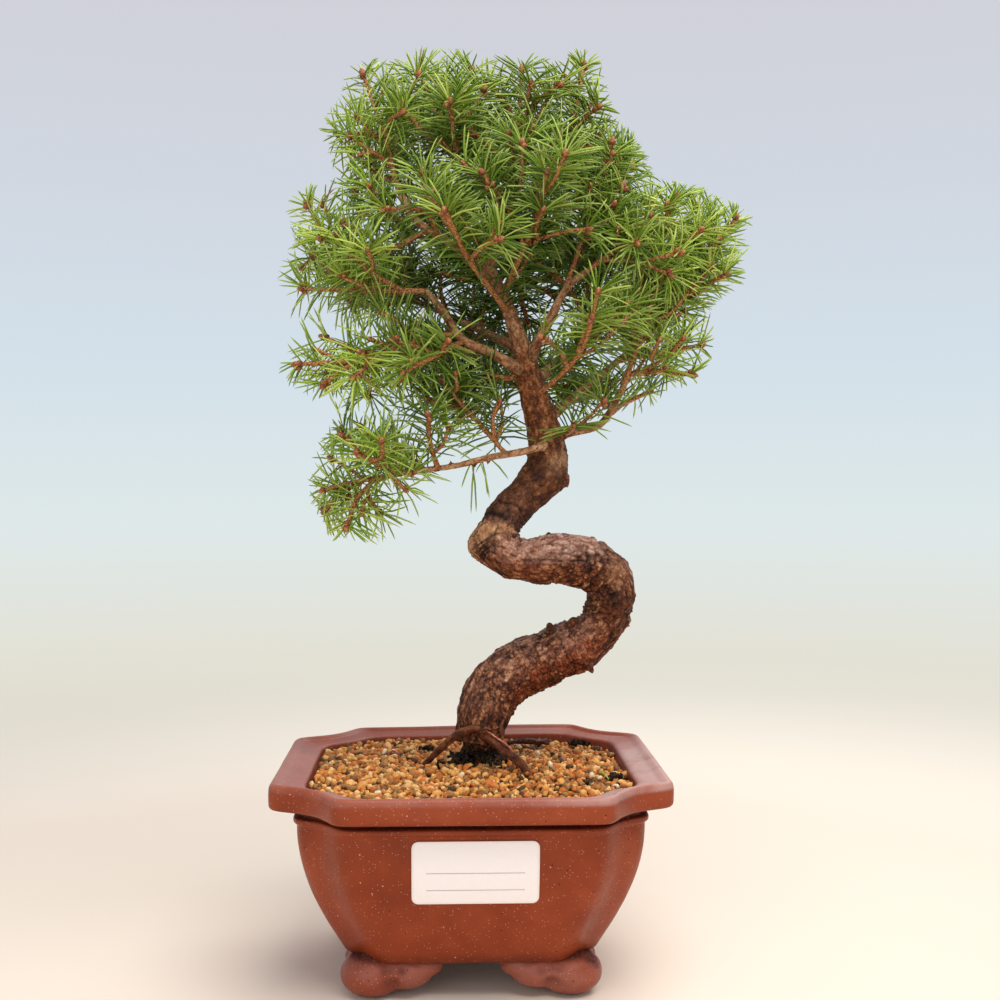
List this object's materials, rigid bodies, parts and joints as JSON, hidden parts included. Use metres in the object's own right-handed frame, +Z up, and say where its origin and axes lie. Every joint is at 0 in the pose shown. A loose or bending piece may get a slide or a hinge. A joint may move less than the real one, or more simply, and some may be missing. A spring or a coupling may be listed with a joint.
{
  "type": "potted spruce bonsai",
  "caption": "Spruce bonsai with a winding trunk and sprays of short needles, rooted in fine grit in a square clay pot with notched corners and cloud feet.",
  "frame": {"origin": "centre of the whole plant's box in plan, at the height of the surface that the feet stand on", "axes": "+Z is up and the longest extent; the pot's labelled face looks along -Y; +Y is the shortest extent, and +X is to the right of the labelled face"},
  "size_m": [0.2072, 0.1664, 0.395],
  "materials": {
    "terracotta": "satin unglazed red-brown clay",
    "grit": "matte ochre and grey-brown grains",
    "bark": "rough fissured red-brown bark",
    "needles": "satin green needles",
    "paper": "satin white sticker, blank",
    "copper": "dull copper wire",
    "black_mesh": "matte black"
  },
  "bodies": {
    "root": {"drain_screen": "black_mesh", "label": "paper", "pot": "terracotta", "root_pin": "copper", "soil": "grit", "soil_pin": "copper", "spray_back_left_end": "needles", "spray_back_left_low": "needles", "spray_back_low_end": "needles", "spray_back_low_right": "needles", "spray_back_mid_end": "needles", "spray_back_mid_left": "needles", "spray_back_right_end": "needles", "spray_back_right_up": "needles", "spray_back_top": "needles", "spray_back_top_left": "needles", "spray_back_top_right": "needles", "spray_back_under": "needles", "spray_far_left": "needles", "spray_front_left": "needles", "spray_front_mid": "needles", "spray_front_right": "needles", "spray_leader_end": "needles", "spray_leader_front": "needles", "spray_leader_left": "needles", "spray_leader_right_end": "needles", "spray_leader_right_low": "needles", "spray_left_out": "needles", "spray_low_left_back": "needles", "spray_low_left_end": "needles", "spray_low_left_front": "needles", "spray_low_left_mid": "needles", "spray_low_left_rise": "needles", "spray_low_left_top": "needles", "spray_mid_left_end": "needles", "spray_mid_left_low": "needles", "spray_mid_left_under": "needles", "spray_right_front_end": "needles", "spray_right_front_up": "needles", "spray_right_long_end": "needles", "spray_right_long_low": "needles", "spray_right_long_up": "needles", "spray_right_low_back": "needles", "spray_right_low_end": "needles", "spray_right_low_tuft": "needles", "spray_right_low_up": "needles", "spray_thin_left": "needles", "spray_top_left_end": "needles", "spray_top_left_front": "needles", "tree": "bark"}
  },
  "joints": []
}
